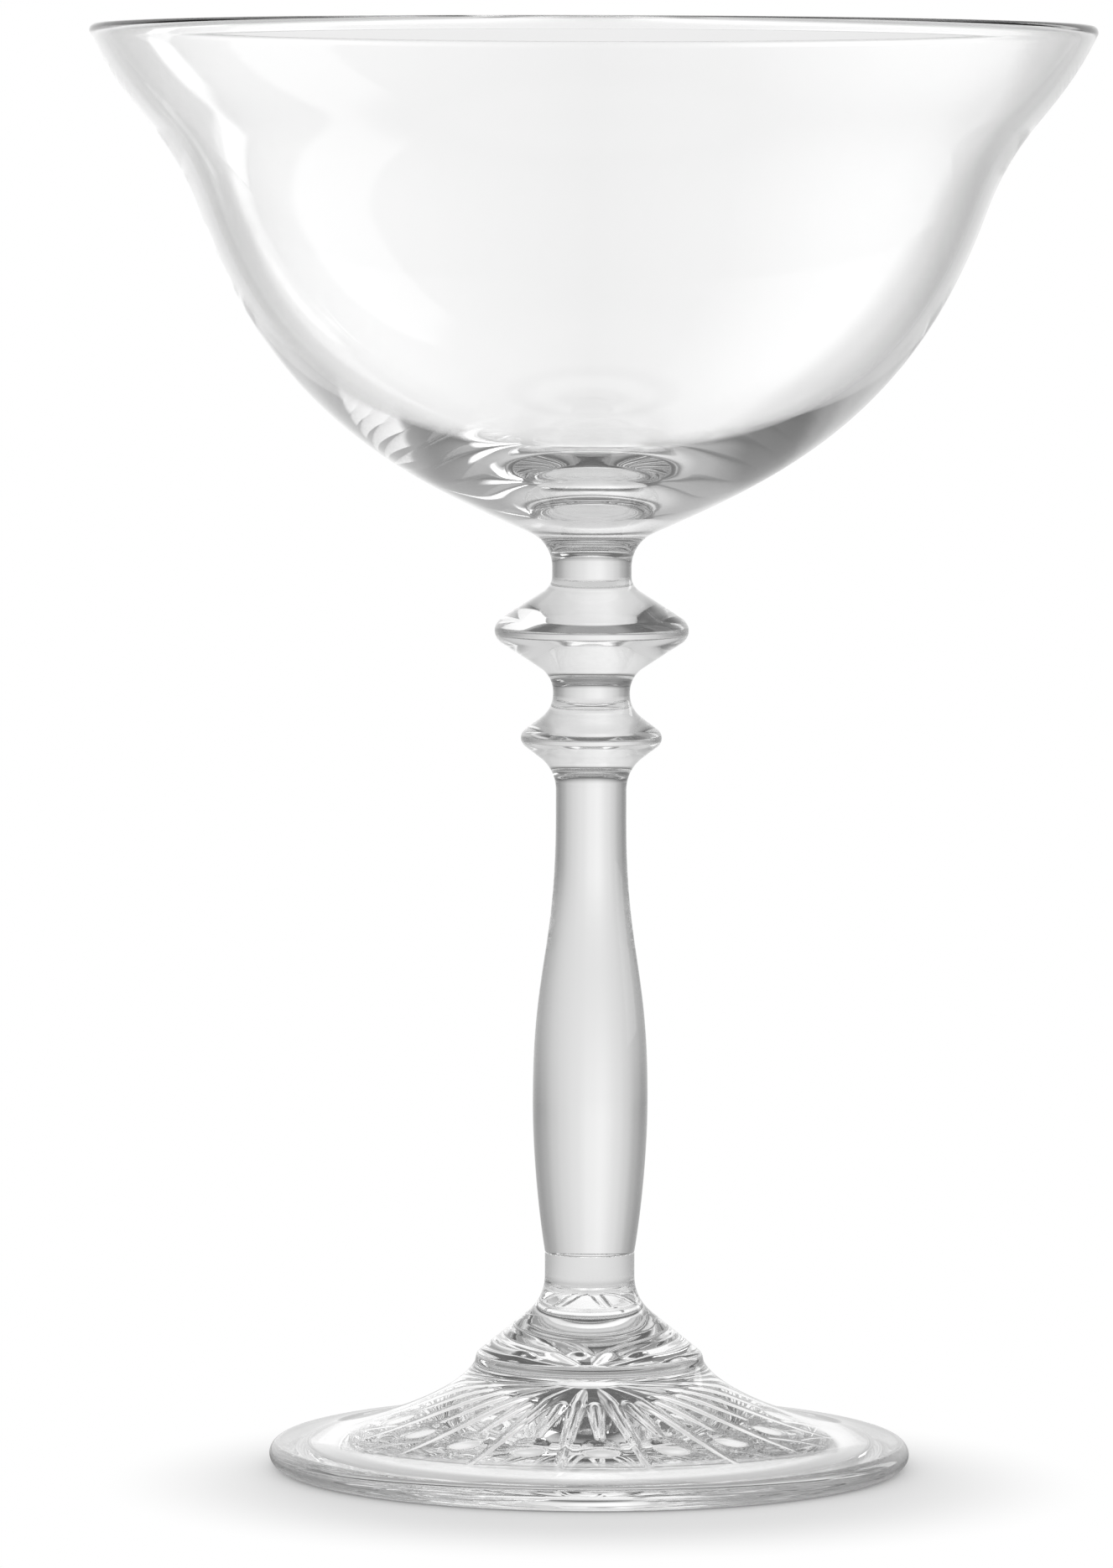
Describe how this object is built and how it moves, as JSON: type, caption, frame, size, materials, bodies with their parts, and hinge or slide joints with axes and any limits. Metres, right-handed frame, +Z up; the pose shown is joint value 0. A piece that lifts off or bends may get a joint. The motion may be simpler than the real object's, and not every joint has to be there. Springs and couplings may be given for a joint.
{
  "type": "coupe glass",
  "caption": "Clear coupe glass with a deep flared bowl, a knopped baluster stem and a spreading foot with a rayed underside.",
  "frame": {"origin": "on the axis of the glass, in the plane of the ring that the foot stands on", "axes": "+Z up along the axis of the glass, from the foot to the rim; +X and +Y level, with the picture's camera on the -Y side"},
  "size_m": [0.112, 0.112, 0.1611],
  "materials": {
    "bowl_glass": "clear blown glass, fire-polished rim, faint waviness",
    "stem_glass": "clear pressed glass, fire-polished",
    "foot_glass": "clear pressed glass, fire-polished, faint chill rings and crisp pressed rays underneath"
  },
  "bodies": {
    "root": {"bowl": "bowl_glass", "stem": "stem_glass", "foot": "foot_glass"}
  },
  "joints": []
}
